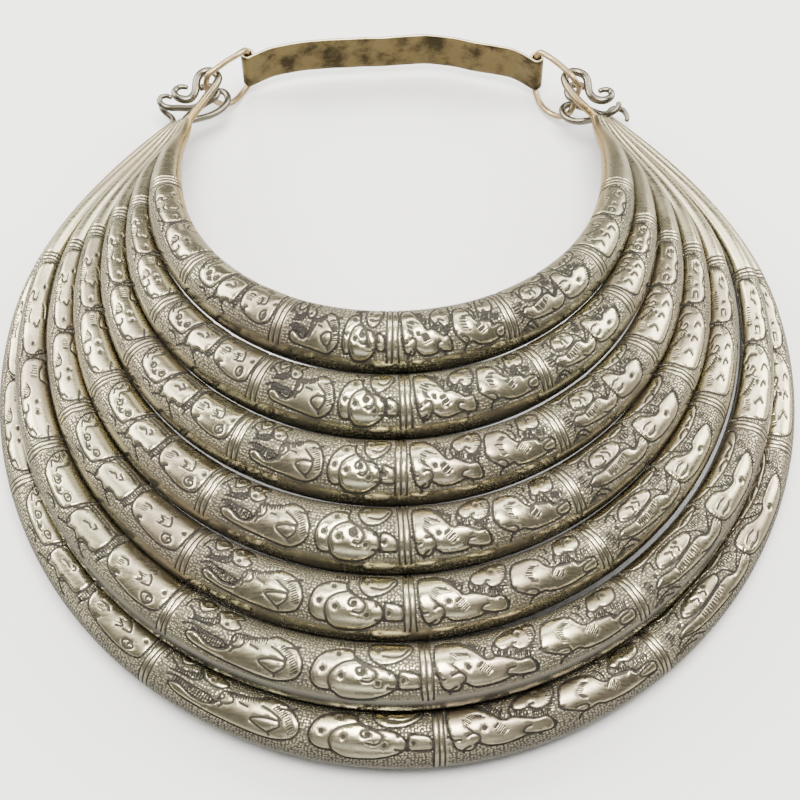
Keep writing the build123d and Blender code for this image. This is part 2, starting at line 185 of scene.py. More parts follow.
# %% The charts
# Ends are the ruler's readings at the two ends of a panel, and tall is the paper's height in the same
# units. Closed figures are left smooth. Lines are struck grooves. Hatches are a line and the number of
# short ticks that cross it. Dots are single punch marks.
CHARTS = {
    "A": {
        "ends": (20, 820), "tall": 312,
        "figures": [
            [(28, 50), (120, 35), (250, 32), (400, 45), (440, 95), (450, 170), (420, 215), (340, 232),
             (200, 242), (90, 238), (40, 215), (26, 130)],
            [(478, 50), (560, 35), (700, 32), (800, 48), (814, 130), (806, 205), (760, 248), (640, 252),
             (520, 240), (474, 200), (466, 120)],
        ],
        "lines": [
            [(170, 160), (195, 165), (203, 185), (190, 200), (172, 195)],
            [(172, 195), (160, 215), (185, 232)],
            [(425, 90), (440, 130), (465, 165), (455, 195)], [(500, 95), (520, 115), (560, 120), (570, 80)],
            [(300, 120), (320, 135), (310, 160)], [(250, 190), (280, 200), (300, 190)],
            [(665, 210), (685, 215), (690, 235), (675, 250)], [(690, 235), (720, 242), (765, 236)],
            [(765, 236), (768, 215), (790, 205)], [(770, 130), (800, 145), (822, 150)],
            [(370, 245), (395, 228), (430, 230), (460, 250)], [(100, 250), (125, 262), (160, 255)],
            [(575, 200), (600, 188), (625, 200), (625, 235)], [(220, 105), (235, 90), (275, 88)],
        ],
        "hatches": [([(500, 150), (545, 155)], 5), ([(590, 205), (620, 225)], 5),
                    ([(215, 215), (300, 228)], 8),
                    ([(430, 100), (460, 150)], 6)],
        "dots": [(138, 122), (398, 155), (655, 160), (700, 165)],
    },
    "B": {
        "ends": (880, 1515), "tall": 312,
        "figures": [
            [(890, 45), (960, 35), (1060, 38), (1096, 60), (1098, 120), (1092, 165), (1085, 205), (1070, 236),
             (1020, 242), (970, 236), (930, 220), (895, 150)],
            [(1114, 60), (1180, 40), (1240, 60), (1250, 120), (1258, 180), (1245, 238), (1205, 240),
             (1180, 262), (1150, 248), (1118, 262), (1106, 200), (1112, 120)],
            [(1282, 60), (1340, 40), (1440, 38), (1500, 60), (1512, 140), (1510, 215), (1495, 248),
             (1440, 262), (1370, 252), (1310, 235), (1286, 190), (1278, 120)],
        ],
        "lines": [
            [(972, 190), (980, 176), (995, 180), (1000, 195), (988, 204), (976, 200)],
            [(1040, 192), (1048, 178), (1063, 178), (1070, 192), (1058, 203), (1044, 198)],
            [(1005, 208), (1020, 216), (1036, 208)], [(1085, 200), (1104, 172), (1125, 146)],
            [(1105, 112), (1130, 106), (1180, 102), (1235, 108)],
            [(1110, 132), (1140, 126), (1200, 124), (1238, 130)],
            [(1108, 228), (1120, 238), (1118, 256), (1100, 268), (1078, 285)],
            [(1212, 236), (1190, 240), (1182, 258), (1200, 280), (1222, 296)],
            [(1150, 185), (1165, 176), (1180, 182)], [(1180, 160), (1195, 165), (1192, 178)],
            [(1240, 100), (1252, 140), (1258, 175), (1256, 240)],
            [(1282, 100), (1278, 150), (1284, 200), (1272, 245)],
            [(1420, 140), (1436, 160), (1440, 182), (1420, 190)], [(1395, 165), (1412, 180), (1400, 195)],
            [(1462, 205), (1442, 212), (1440, 232), (1456, 243), (1473, 232), (1472, 215), (1458, 218),
             (1458, 228)],
            [(1345, 225), (1330, 232), (1345, 240)], [(1320, 165), (1338, 160), (1350, 168)],
            [(935, 90), (950, 125), (945, 165), (958, 180)], [(905, 130), (925, 150), (915, 175), (935, 190)],
            [(1000, 262), (1030, 255), (1050, 270)],
        ],
        "hatches": [([(1112, 120), (1170, 113), (1232, 119)], 13),
                    ([(1265, 110), (1268, 160), (1266, 235)], 13),
                    ([(1318, 108), (1370, 102), (1425, 122)], 9), ([(900, 100), (915, 130), (905, 165)], 7),
                    ([(1400, 160), (1405, 192)], 4), ([(1325, 178), (1330, 195)], 3)],
        "dots": [(986, 191), (1056, 190), (1492, 170), (1020, 205)],
    },
    "C": {
        "ends": (28, 862), "tall": 337,
        "figures": [
            [(66, 122), (78, 96), (102, 82), (128, 102), (136, 125), (120, 152), (98, 166), (78, 150)],
            [(152, 132), (166, 102), (192, 86), (234, 96), (242, 116), (224, 138), (250, 162), (240, 184),
             (212, 192), (180, 184), (166, 160)],
            [(84, 268), (118, 256), (170, 276), (215, 272), (238, 250), (246, 196), (300, 184), (350, 166),
             (378, 148), (430, 160), (468, 192), (488, 232), (486, 268), (462, 296), (400, 318), (290, 312),
             (190, 306), (110, 296)],
            [(517, 240), (534, 188), (574, 152), (622, 142), (648, 152), (654, 174), (702, 204), (745, 210),
             (776, 226), (792, 252), (788, 280), (760, 304), (700, 328), (626, 330), (588, 306), (548, 304),
             (524, 280)],
            [(697, 112), (695, 150), (712, 182), (746, 198), (792, 188), (832, 160), (846, 126), (826, 98),
             (760, 84), (712, 88)],
            [(798, 232), (806, 220), (836, 226), (862, 242), (862, 284), (800, 282)],
        ],
        "lines": [
            [(56, 172), (78, 184), (96, 196), (130, 184), (164, 168), (170, 186), (150, 206),
             (104, 211), (76, 216)],
            [(72, 242), (98, 229), (150, 234), (206, 238), (230, 252), (212, 268), (188, 276),
             (140, 262), (100, 246)],
            [(148, 140), (156, 160), (152, 176)],
            [(250, 206), (257, 220), (244, 234), (254, 246), (250, 262)],
            [(274, 198), (283, 214), (276, 232), (262, 242)], [(303, 214), (330, 217)],
            [(374, 194), (402, 208), (432, 232), (380, 238), (346, 256), (372, 276), (400, 290), (406, 298)],
            [(430, 236), (432, 256), (418, 276), (402, 290)], [(424, 182), (446, 178), (466, 168)],
            [(650, 186), (616, 198), (588, 224), (576, 262), (588, 300)],
            [(650, 140), (648, 166), (664, 188), (700, 208), (723, 228), (720, 250), (702, 262), (680, 258)],
            [(686, 206), (667, 212), (662, 228), (674, 238), (688, 232), (688, 220), (678, 220)],
            [(745, 163), (780, 168), (810, 158), (830, 132)], [(740, 210), (762, 216), (768, 232)],
            [(764, 282), (800, 286), (862, 287)], [(66, 96), (56, 122), (44, 140), (40, 180)],
        ],
        "hatches": [([(84, 200), (125, 198), (162, 184)], 11), ([(92, 238), (150, 246), (214, 254)], 15),
                    ([(254, 196), (300, 190), (352, 172)], 14), ([(410, 182), (446, 214), (468, 262)], 12),
                    ([(44, 60), (60, 80), (72, 76)], 5), ([(600, 118), (650, 112), (690, 100)], 9)],
        "dots": [(100, 122), (188, 130), (200, 171), (597, 167), (552, 232), (615, 245), (730, 265),
                 (810, 254),
                 (730, 127), (678, 226)],
    },
    "D": {
        "ends": (920, 1665), "tall": 337,
        "figures": [
            [(928, 145), (946, 114), (1000, 108), (1040, 132), (1075, 174), (1096, 207), (1116, 215),
             (1140, 212), (1184, 228), (1214, 244), (1250, 248), (1264, 276), (1256, 308), (1180, 300),
             (1150, 306), (1100, 311), (1050, 303), (1016, 284), (990, 308), (948, 298), (934, 262),
             (926, 205)],
            [(1150, 152), (1174, 130), (1230, 106), (1290, 104), (1305, 130), (1295, 175), (1268, 204),
             (1240, 212), (1217, 204), (1200, 190), (1175, 194), (1150, 178)],
            [(1300, 240), (1305, 200), (1325, 156), (1352, 136), (1406, 140), (1440, 162), (1454, 196),
             (1472, 216), (1500, 219), (1518, 216), (1568, 232), (1582, 252), (1622, 246), (1655, 262),
             (1650, 300), (1600, 308), (1520, 312), (1450, 304), (1420, 286), (1380, 292), (1340, 272)],
            [(1516, 162), (1546, 106), (1600, 98), (1642, 128), (1632, 176), (1606, 194), (1580, 192),
             (1558, 180), (1540, 190), (1518, 180)],
        ],
        "lines": [
            [(1016, 118), (1050, 150), (1092, 202)], [(1112, 168), (1104, 184), (1096, 202)],
            [(1138, 208), (1131, 184), (1146, 156)], [(1200, 188), (1208, 176), (1220, 180)],
            [(984, 246), (1004, 240), (1022, 254), (1020, 274), (1006, 284)],
            [(924, 240), (940, 260), (956, 259)],
            [(1192, 264), (1172, 266), (1160, 282), (1184, 294), (1208, 304), (1214, 316)],
            [(986, 290), (966, 302), (966, 316)], [(1296, 232), (1312, 240)],
            [(1262, 262), (1272, 284), (1262, 306)],
            [(1348, 260), (1374, 262), (1392, 275), (1386, 290), (1360, 300), (1350, 316)],
            [(1640, 262), (1610, 265), (1590, 278), (1602, 296), (1640, 304)],
            [(1504, 206), (1500, 186), (1514, 162)], [(1574, 150), (1580, 126), (1590, 118)],
            [(1562, 190), (1568, 216), (1588, 250)], [(1514, 222), (1556, 231)],
            [(1460, 150), (1476, 176), (1478, 200)], [(1480, 110), (1496, 130), (1488, 150)],
        ],
        "hatches": [([(1038, 180), (1008, 174), (988, 192), (984, 212), (998, 230)], 14),
                    ([(1082, 228), (1106, 262)], 7), ([(1150, 198), (1190, 213)], 6),
                    ([(1208, 216), (1256, 232)], 8),
                    ([(1060, 132), (1080, 158), (1102, 176)], 8),
                    ([(1412, 180), (1388, 192), (1380, 216), (1386, 242)], 12),
                    ([(1478, 228), (1504, 262)], 7), ([(1526, 200), (1560, 214)], 6),
                    ([(1286, 140), (1282, 190), (1262, 226)], 9), ([(1592, 212), (1640, 222)], 8)],
        "dots": [(1240, 140), (1596, 134), (1042, 228)],
    },
    "E": {
        "ends": (55, 735), "tall": 312,
        "figures": [
            [(146, 190), (160, 152), (200, 128), (262, 134), (300, 156), (292, 190), (242, 206), (184, 206)],
            [(100, 238), (130, 216), (180, 222), (300, 206), (345, 236), (396, 216), (404, 262), (352, 288),
             (288, 286), (200, 276), (150, 268)],
            [(412, 160), (440, 148), (476, 158), (502, 192), (540, 208), (572, 190), (640, 196), (664, 220),
             (640, 262), (598, 290), (500, 292), (426, 272), (404, 220)],
            [(420, 60), (520, 40), (640, 42), (720, 60), (726, 110), (690, 140), (600, 150), (520, 140),
             (440, 110)],
            [(70, 60), (180, 40), (330, 45), (400, 80), (396, 120), (330, 138), (280, 120), (200, 115),
             (120, 125), (80, 110)],
        ],
        "lines": [
            [(200, 158), (214, 168), (208, 184)], [(232, 160), (244, 172), (238, 186)],
            [(160, 186), (180, 200), (210, 196)],
            [(300, 160), (326, 186), (342, 234), (364, 214), (400, 176)],
            [(290, 268), (320, 284), (360, 284)],
            [(430, 206), (452, 200), (472, 206)], [(434, 240), (456, 244), (476, 234)],
            [(488, 106), (498, 148), (528, 200), (556, 196), (548, 158)], [(88, 262), (112, 240), (138, 250)],
            [(70, 300), (104, 278), (140, 276), (168, 304)], [(88, 300), (112, 288), (140, 302)],
            [(104, 150), (124, 132), (140, 140), (134, 170)],
            [(560, 130), (584, 118), (612, 130), (600, 146)],
            [(640, 118), (664, 128), (680, 110)], [(312, 118), (344, 108), (386, 118), (396, 140)],
            [(330, 140), (360, 134), (384, 152)],
        ],
        "hatches": [([(190, 240), (236, 240), (286, 222)], 12), ([(80, 196), (84, 240)], 8),
                    ([(574, 164), (640, 186)], 10),
                    ([(690, 150), (668, 214), (640, 266)], 14), ([(390, 180), (402, 210), (400, 240)], 6),
                    ([(330, 160), (376, 168)], 8), ([(504, 168), (540, 186)], 6)],
        "dots": [(250, 150), (560, 240), (120, 200), (625, 122)],
    },
    "F": {
        "ends": (745, 1400), "tall": 312,
        "figures": [
            [(757, 60), (850, 40), (1000, 42), (1080, 70), (1088, 150), (1060, 215), (1000, 262), (880, 280),
             (790, 275), (757, 220), (752, 140)],
            [(1112, 60), (1200, 42), (1320, 48), (1388, 80), (1384, 170), (1340, 228), (1240, 242),
             (1150, 236), (1108, 200), (1104, 120)],
        ],
        "lines": [
            [(944, 108), (950, 140), (975, 156), (986, 138), (970, 128)],
            [(820, 180), (846, 200), (830, 224)],
            [(900, 196), (926, 206), (912, 226)], [(975, 196), (1000, 206), (990, 230)],
            [(1010, 96), (1036, 120), (1042, 160)], [(860, 100), (880, 128), (920, 150)],
            [(1096, 100), (1110, 130), (1096, 160)], [(1140, 160), (1168, 160), (1166, 186), (1140, 186)],
            [(1206, 166), (1210, 186)], [(1280, 180), (1300, 160), (1330, 166)],
            [(1200, 238), (1230, 224), (1262, 236)],
            [(1100, 246), (1130, 236), (1160, 250)],
        ],
        "hatches": [([(1050, 192), (1070, 166), (1096, 158)], 9), ([(860, 112), (900, 140), (940, 156)], 9),
                    ([(790, 150), (830, 138)], 5), ([(1180, 120), (1260, 124)], 8),
                    ([(1380, 130), (1388, 190)], 8)],
        "dots": [(920, 176), (1210, 176), (980, 112), (1330, 190)],
    },
}
print("panels charted:", ", ".join(CHARTS))

# %% [markdown]
# ## Cutting the grooves
# The flat sheet of one torc is filled with an even grid of points. Every groove adds a row of points
# along its bottom and one along each lip, and a Delaunay mesh joins them all, so the grooves are real
# edges in the mesh and cost few triangles. A displacement map would need many times as many.

# %% Grooves on the flat sheet
LINE_HALF, LINE_DEEP = 0.56, 0.34        # a struck outline, mm
TICK_HALF, TICK_DEEP = 0.28, 0.16        # a hatch tick
TICK_REACH = 0.80                        # half the length of a tick
DOT_HALF, DOT_DEEP = 1.35, 0.50          # a punched dot
CUFF_HALF, CUFF_DEEP = 0.44, 0.32        # the lines across the torc
STEP = 0.75                              # between the points along a groove


def smooth_line(points, closed=False, step=STEP):
    """Catmull-Rom line through charted points, already in millimetres, in even steps."""
    p = np.asarray(points, float)
    if closed:
        p = np.vstack([p[-1], p, p[0], p[1]])
    else:
        p = np.vstack([2 * p[0] - p[1], p, 2 * p[-1] - p[-2]])
    t = np.linspace(0, 1, 12, endpoint=False)[:, None]
    rows = []
    for a, b, c, d in zip(p, p[1:], p[2:], p[3:]):
        rows.append(0.5 * (2 * b + (c - a) * t + (2 * a - 5 * b + 4 * c - d) * t**2
                           + (3 * b - a - 3 * c + d) * t**3))
    line = np.vstack(rows + [p[-2][None]])
    run = np.r_[0, np.cumsum(np.linalg.norm(np.diff(line, axis=0), axis=1))]
    count = max(2, int(round(run[-1] / step)) + 1)
    at = np.linspace(0, run[-1], count)
    return np.stack([np.interp(at, run, line[:, k]) for k in range(2)], -1)


class Sheet:
    """The flat drawing of one torc: millimetres along, millimetres around from its top."""

    def __init__(self, number):
        self.torc = torcs[number]
        self.ground_foot = OUTER_GROUND_FOOT if number == len(TORCS) else GROUND_FOOT
        self.grooves = []
        self.figures = []
        self.noise = np.random.default_rng(number)

    def groove(self, line, half, deep):
        self.grooves.append((np.asarray(line), half, deep))

    def panel(self, chart, u0, u1):
        left, right = chart["ends"]
        top, foot = np.radians((PAPER_TOP, PAPER_FOOT)) * SHEET_R
        shake = self.noise.normal(0, 0.12, 2)

        def place(points):
            p = np.asarray(points, float)
            u = u0 + (u1 - u0) * (p[:, 0] - left) / (right - left)
            w = top + (foot - top) * p[:, 1] / chart["tall"]
            return np.stack([u, w], -1) + shake + self.noise.normal(0, 0.10, p.shape)

        for figure in chart["figures"]:
            line = smooth_line(place(figure), closed=True)
            self.figures.append(line)
            self.groove(line, LINE_HALF, LINE_DEEP)
        for points in chart["lines"]:
            self.groove(smooth_line(place(points)), LINE_HALF, LINE_DEEP)
        for points, count in chart["hatches"]:
            line = smooth_line(place(points), step=0.2)
            way = unit(line[-1] - line[0])
            tick = np.array([-way[1], way[0]]) * TICK_REACH
            for i in np.linspace(0, len(line) - 1, count).astype(int):
                self.groove([line[i] - tick, line[i] + tick], TICK_HALF, TICK_DEEP)
        for middle in place(chart["dots"]):
            self.groove([middle, middle + [0.02, 0]], DOT_HALF, DOT_DEEP)

    def cross_lines(self, u, offsets):
        top, foot = np.radians((PAPER_TOP, self.ground_foot + 4)) * SHEET_R
        slant = self.noise.normal(0, 0.5)
        for offset in offsets:
            wobble = self.noise.normal(0, 0.10, 7)
            line = [(u + offset + w + slant * (k / 6 - 0.5), top + (foot - top) * k / 6)
                    for k, w in enumerate(wobble)]
            self.groove(smooth_line(line), CUFF_HALF, CUFF_DEEP)


PANEL_GAP = 2.3                          # from the middle of the lines that part two panels


def draw(number):
    sheet = Sheet(number)
    ends = [share * sheet.torc.half_run for share in PANEL_ENDS[number]]
    for chart, u0, u1 in zip(CHARTS.values(), ends, ends[1:]):
        sheet.panel(chart, u0 + PANEL_GAP, u1 - PANEL_GAP)
    for u in ends:
        sheet.cross_lines(u, (-1.6, 0, 1.6))
    return sheet, ends


# %% Wrap a drawn sheet onto its tube
GRID = 1.05                              # fine grid over the drawing, mm
COARSE = 2.2                             # coarse grid over the rest
FINE_LOW, FINE_HIGH = 106.0, -100.0      # degrees that the fine grid covers
FINE_PAST = 6                            # how far it runs past the two outer cuffs, mm
SAMPLE_STEP = 0.12                       # between the places a point's nearest groove is sought at, mm
CLEAR = 0.55                             # grid points nearer than this to a groove are left out, mm
PLAIN_BY_CUFF = 2                        # the matting stops this far from a cuff's middle line, mm
GROUND_EDGE, GROUND_SUNK = 1.2, 0.06     # run over which the matting fades, and its depth, mm
PILLOW_EDGE, PILLOW = 1.4, 0.08          # run over which a figure rises from its outline, and its rise, mm


def inside(points, outline):
    """Even-odd test of many points against one closed outline."""
    low, high = outline.min(0), outline.max(0)
    found = np.zeros(len(points), bool)
    near = np.nonzero(((points > low) & (points < high)).all(1))[0]
    x, y = points[near, 0], points[near, 1]
    odd = np.zeros(len(near), bool)
    for (x0, y0), (x1, y1) in zip(outline, np.roll(outline, -1, 0)):
        if y0 != y1:
            crosses = (y0 > y) != (y1 > y)
            odd ^= crosses & (x < x0 + (y - y0) / (y1 - y0) * (x1 - x0))
    found[near] = odd
    return found


def groove_rows(grooves):
    """Bottoms and lips of all grooves, the edges that keep the bottoms whole, and dense samples."""
    points, edges, samples = [], [], []
    count = 0  # points so far
    for line, half, deep in grooves:
        way = np.gradient(line, axis=0)
        way = unit(way + 1e-9)
        side = np.stack([-way[:, 1], way[:, 0]], -1) * half
        rows = [line, line + side, line - side]
        if half == DOT_HALF:
            around = np.linspace(0, 2 * math.pi, 8, endpoint=False)
            rows.append(line[:1] + half * np.stack([np.cos(around), np.sin(around)], -1))
        points += rows
        edges += [(count + i, count + i + 1) for i in range(len(line) - 1)]
        count += sum(len(row) for row in rows)
        for a, b in zip(line, line[1:]):
            fine = max(1, int(np.linalg.norm(b - a) / SAMPLE_STEP))
            for t in range(fine):
                samples.append((*(a + (b - a) * t / fine), half, deep))
        samples.append((*line[-1], half, deep))
    return np.vstack(points), edges, np.array(samples)


def sheet_mesh(sheet, ends):
    """Points, triangles and masks of the whole tube's surface, still flat."""
    full = math.pi * SHEET_R
    reach = sheet.torc.half_run
    points, edges, samples = groove_rows(sheet.grooves)
    tree = KDTree(len(samples))
    for i, row in enumerate(samples):
        tree.insert((row[0], row[1], 0), i)
    tree.balance()
    low, high = math.radians(FINE_HIGH) * SHEET_R, math.radians(FINE_LOW) * SHEET_R
    grid = []
    rows = int((high - low) / GRID) + 1
    for k, w in enumerate(np.linspace(low, high, rows)):
        us = np.arange(ends[0] - FINE_PAST + (k % 2) * GRID / 2, ends[-1] + FINE_PAST, GRID)
        grid += [(u, w) for u in us]
    grid = [g for g in grid if tree.find((g[0], g[1], 0))[2] > CLEAR]
    columns = np.linspace(-reach, reach, int(2 * reach / COARSE))
    around = np.linspace(-full, full, 25)
    first, last = ends[0] - FINE_PAST - 1, ends[-1] + FINE_PAST + 1
    coarse = [(u, w) for u in columns for w in around
              if not (first < u < last and low - 1 < w < high + 1)]
    if (np.abs(points[:, 1]) >= full - 0.5).any():
        raise ValueError("a groove runs past the seam")
    flat = np.vstack([points, np.array(grid), np.array(coarse)])
    verts, _, faces, *_ = delaunay_2d_cdt([Vector(p) for p in flat], edges, [], 0, 1e-4)
    verts = np.array([(v.x, v.y) for v in verts])
    found = [tree.find((x, y, 0)) for x, y in verts]
    near = samples[[f[1] for f in found]]
    distance = np.array([f[2] for f in found])
    cut = np.clip(1 - distance / near[:, 2], 0, 1)
    smooth = np.zeros(len(verts), bool)
    for outline in sheet.figures:
        smooth |= inside(verts, outline)
    top, foot = np.radians((GROUND_TOP, sheet.ground_foot)) * SHEET_R
    drawn = (verts[:, 0] > ends[0] + PLAIN_BY_CUFF) & (verts[:, 0] < ends[-1] - PLAIN_BY_CUFF)
    for u in ends[1:-1]:
        drawn &= np.abs(verts[:, 0] - u) > PLAIN_BY_CUFF
    across = (np.clip((foot - verts[:, 1]) / GROUND_EDGE, 0, 1)
              * np.clip((verts[:, 1] - top) / GROUND_EDGE, 0, 1))
    ground = drawn * across * ~smooth
    pillow = np.where(smooth, PILLOW * np.clip(distance / PILLOW_EDGE, 0, 1), 0)
    lift = pillow - near[:, 3] * (1 - (1 - cut) ** 2) - GROUND_SUNK * ground
    masks = {"groove": cut * np.clip(near[:, 3] / 0.2, 0, 1), "ground": ground * 1.0}
    return verts, faces, masks, lift


# %% Tools that build the meshes
def new_mesh(name, points, faces, masks):
    """Mesh object from millimetre points, with named masks on its points."""
    mesh = bpy.data.meshes.new(name)
    mesh.from_pydata([tuple(p) for p in np.asarray(points) * MM], [], [tuple(f) for f in faces])
    for mask, values in masks.items():
        kind = "FLOAT_VECTOR" if np.ndim(values) == 2 else "FLOAT"
        layer = mesh.attributes.new(mask, kind, "POINT")
        field = "vector" if kind == "FLOAT_VECTOR" else "value"
        layer.data.foreach_set(field, np.asarray(values, float).ravel())
    mesh.validate()
    mesh.shade_smooth()
    piece = bpy.data.objects.new(name, mesh)
    bpy.context.collection.objects.link(piece)
    return piece


def natural_line(points, per_mm=3.0, closed=False):
    """Natural cubic line through 3-D points, as a springy wire takes."""
    p = np.asarray(points, float)
    if closed:
        p = np.vstack([p, p[0]])
    knots = np.r_[0, np.cumsum(np.linalg.norm(np.diff(p, axis=0), axis=1))]
    h = np.diff(knots)
    n = len(p)
    matrix = np.zeros((n, n))
    rhs = np.zeros((n, 3))
    for i in range(1, n - 1):
        matrix[i, i - 1:i + 2] = h[i - 1], 2 * (h[i - 1] + h[i]), h[i]
        rhs[i] = 6 * ((p[i + 1] - p[i]) / h[i] - (p[i] - p[i - 1]) / h[i - 1])
    if closed:
        matrix[0, 0], matrix[0, -1] = 1, -1
        matrix[-1, 0:2] = 2 * h[0], h[0]
        matrix[-1, -2:] = h[-1], 2 * h[-1]
        rhs[-1] = 6 * ((p[1] - p[0]) / h[0] - (p[-1] - p[-2]) / h[-1])
    else:
        matrix[0, 0] = matrix[-1, -1] = 1
    bend = np.linalg.solve(matrix, rhs)
    at = np.linspace(0, knots[-1], int(knots[-1] * per_mm))
    i = np.clip(np.searchsorted(knots, at, side="right") - 1, 0, n - 2)
    a, b, step = (knots[i + 1] - at)[:, None], (at - knots[i])[:, None], h[i][:, None]
    line = (bend[i] * a**3 + bend[i + 1] * b**3) / (6 * step)
    line += (p[i] / step - bend[i] * step / 6) * a + (p[i + 1] / step - bend[i + 1] * step / 6) * b
    return line[:-1] if closed else line


def wire_tube(line, radii, sides=14, closed=False):
    """Points and faces of a round wire along a line, its seam kept upwards."""
    line = np.asarray(line)
    if closed:
        along = unit(np.roll(line, -1, 0) - np.roll(line, 1, 0))
    else:
        along = unit(np.gradient(line, axis=0))
    side = [np.cross(along[0], [0, 0, 1.0]) if abs(along[0][2]) < 0.9 else np.array([1.0, 0, 0])]
    for way in along[1:]:
        side.append(unit(side[-1] - way * (side[-1] @ way)))
    side = unit(np.array(side) - along * (np.array(side) * along).sum(1)[:, None])
    up = np.cross(side, along)
    angle = np.linspace(0, 2 * math.pi, sides, endpoint=False)
    ring = (side[:, None] * np.cos(angle)[None, :, None]
            + up[:, None] * np.sin(angle)[None, :, None]) * np.asarray(radii)[:, None, None]
    points = (line[:, None] + ring).reshape(-1, 3)
    rows = len(line)
    faces = []
    for i in range(rows if closed else rows - 1):
        j = (i + 1) % rows
        for k in range(sides):
            m = (k + 1) % sides
            faces.append((i * sides + k, i * sides + m, j * sides + m, j * sides + k))
    if not closed:
        faces.append(tuple(range(sides))[::-1])
        faces.append(tuple((rows - 1) * sides + k for k in range(sides)))
    return points, faces


print("mesh tools ready")

# %% [markdown]
# ## Hooks, curls and links
# The ends of torcs 1, 2, 3 and 7 are drawn out to wire and bent cold, so no two curls match. Their
# centre lines are the solids' own. Each is swept with a round section whose seam is carried along
# without twisting, and its cut end is slightly drawn in.

# %% Centre lines of the wires
HOOK_WIRES = {
    # (ring, side): wire_r, tip_r, centre line
    (1, -1): (1.5, 0.95, [  # upper hook, then the snail curl
        (-69.5, -18.7, 23.2), (-66.2, -12.7, 23.2), (-63.7, -7.9, 23.0), (-63.0, -4.5, 22.6),
        (-64.7, -1.7, 22.2), (-67.4, -0.8, 21.9), (-69.9, -2.4, 21.8), (-71.0, -5.5, 21.7),
        (-71.1, -8.8, 21.7), (-71.7, -11.7, 21.7), (-73.3, -13.6, 21.7), (-75.7, -13.7, 21.8),
        (-78.0, -12.4, 21.9), (-78.7, -10.3, 21.9), (-77.6, -8.5, 21.9), (-75.7, -8.0, 21.9),
        (-74.1, -8.4, 21.9),
    ]),
    (1, 1): (1.5, 0.95, [
        (70.2, -21.0, 23.2), (67.2, -17.1, 23.2), (64.6, -12.7, 23.1), (63.0, -8.6, 22.9),
        (63.0, -5.3, 22.6), (65.0, -3.1, 22.2), (68.0, -2.9, 21.9), (70.5, -4.9, 21.8),
        (71.2, -8.3, 21.7), (71.4, -11.6, 21.7), (72.6, -14.3, 21.7), (74.8, -15.8, 21.8),
        (77.5, -15.7, 21.9), (79.3, -14.0, 21.9), (79.2, -11.9, 21.9), (77.3, -11.0, 21.9),
        (75.0, -11.9, 21.9),
    ]),
    (2, -1): (1.25, 0.9, [  # lower hook, back under the bar, then the second curl
        (-72.0, -21.0, 19.0), (-69.2, -18.2, 16.6), (-66.5, -15.4, 14.4), (-63.5, -11.9, 12.6),
        (-61.1, -8.3, 11.8), (-60.6, -4.5, 11.2), (-62.3, -1.5, 10.8), (-65.0, -0.8, 10.2),
        (-67.7, -2.3, 9.4), (-70.0, -4.8, 8.8), (-72.5, -6.8, 8.8), (-75.6, -7.9, 9.4),
        (-78.6, -8.5, 10.4), (-81.1, -9.1, 11.2), (-83.7, -8.9, 12.0), (-85.4, -7.2, 12.4),
        (-85.0, -5.3, 12.6), (-83.0, -4.8, 12.8), (-81.1, -5.7, 12.8),
    ]),
    (2, 1): (1.25, 1.1, [
        (72.7, -21.9, 18.6), (70.5, -20.5, 16.0), (67.4, -19.1, 13.8), (64.5, -16.9, 12.4),
        (62.6, -13.6, 11.4), (62.9, -10.2, 10.8), (65.0, -8.4, 10.2), (67.9, -8.4, 9.6),
        (71.3, -9.5, 9.2), (74.1, -10.9, 9.2), (76.6, -12.7, 10.0), (79.2, -13.6, 11.3),
        (81.4, -13.1, 12.2), (82.8, -11.7, 12.8), (83.0, -10.0, 13.2),
    ]),
    (3, -1): (1.25, 1.25, [  # middle hook, its cut end behind the bar
        (-73.8, -17.4, 17.0), (-70.8, -14.0, 16.6), (-67.7, -11.0, 16.3), (-64.7, -8.3, 16.0),
        (-63.9, -5.4, 15.7), (-65.5, -3.1, 15.5), (-68.2, -2.7, 15.6), (-70.5, -4.0, 15.9),
    ]),
    (3, 1): (1.25, 1.25, [
        (73.6, -18.2, 17.2), (70.6, -15.2, 16.8), (67.3, -12.3, 16.4), (64.7, -9.4, 16.0),
        (64.2, -6.3, 15.7), (65.7, -3.9, 15.5), (68.3, -3.5, 15.6), (70.8, -5.2, 15.9),
    ]),
    (7, -1): (1.25, 0.9, [  # short horn below the second curl
        (-80.9, -11.9, 6.1), (-81.3, -10.3, 6.5), (-82.7, -9.0, 7.0), (-84.3, -7.8, 7.5),
        (-85.4, -6.1, 7.8), (-85.5, -4.3, 8.0),
    ]),
    (7, 1): (1.35, 0.9, [
        (80.6, -11.9, 6.0), (80.0, -10.2, 6.2), (80.9, -8.4, 6.5), (82.8, -7.8, 6.9), (84.8, -8.7, 7.3),
        (86.1, -10.7, 7.5), (86.5, -12.8, 7.5), (86.2, -14.0, 7.4),
    ]),
}
TAIL_OVERRUN = {4: 1.0, 5: 0.5, 6: 0.4}  # how far the other torcs' plain ends run on
SWELL, POINTING = 6.0, 12.0              # runs over which a wire takes its girth and is drawn to a tip
SKIN = 0.02                              # how far the wires' surface lies inside the solids'
CUT_END = (0.98, 0.92, 0.8)              # shares of the girth at the last three sections of a cut end
LOOK_BACK = 40                           # rows of the centre line that give an end's direction
LINK_R = 1.1
